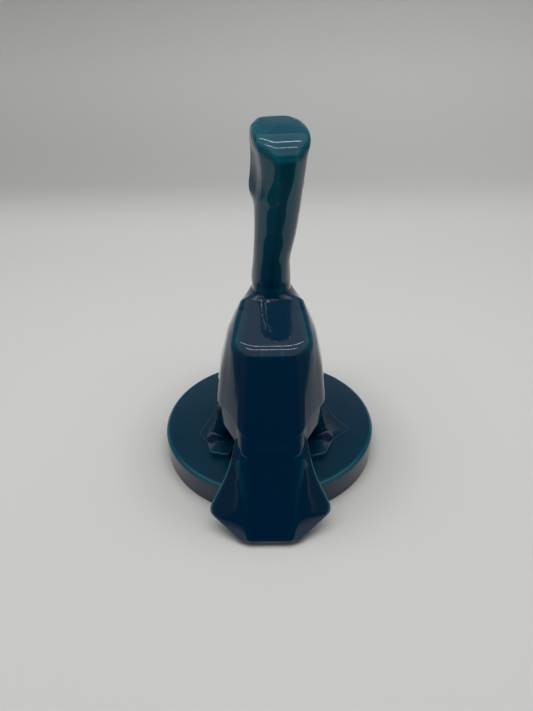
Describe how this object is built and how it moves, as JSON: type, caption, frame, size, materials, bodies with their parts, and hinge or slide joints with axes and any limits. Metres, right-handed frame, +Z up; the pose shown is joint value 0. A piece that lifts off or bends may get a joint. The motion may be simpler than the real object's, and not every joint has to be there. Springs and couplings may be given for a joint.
{
  "type": "ceramic bird figurine",
  "caption": "Glossy dark teal glazed ceramic figurine of a stylised faceted long-necked water bird standing on a round base.",
  "frame": {"origin": "centre of the foot ring's outline, in the plane the base stands on", "axes": "+Z up; the bird faces -Y and its tail points to +Y; +X is the bird's left"},
  "size_m": [0.14, 0.163, 0.2064],
  "materials": {
    "teal_glaze": "glossy dark teal glaze, lighter where it runs thin over edges"
  },
  "bodies": {
    "root": {"base_disc": "teal_glaze", "body": "teal_glaze", "neck": "teal_glaze", "head": "teal_glaze", "bill": "teal_glaze", "tail": "teal_glaze", "left_upper_wing": "teal_glaze", "right_upper_wing": "teal_glaze", "left_flight_feathers": "teal_glaze", "right_flight_feathers": "teal_glaze", "left_leg": "teal_glaze", "right_leg": "teal_glaze", "left_foot": "teal_glaze", "right_foot": "teal_glaze"}
  },
  "joints": []
}
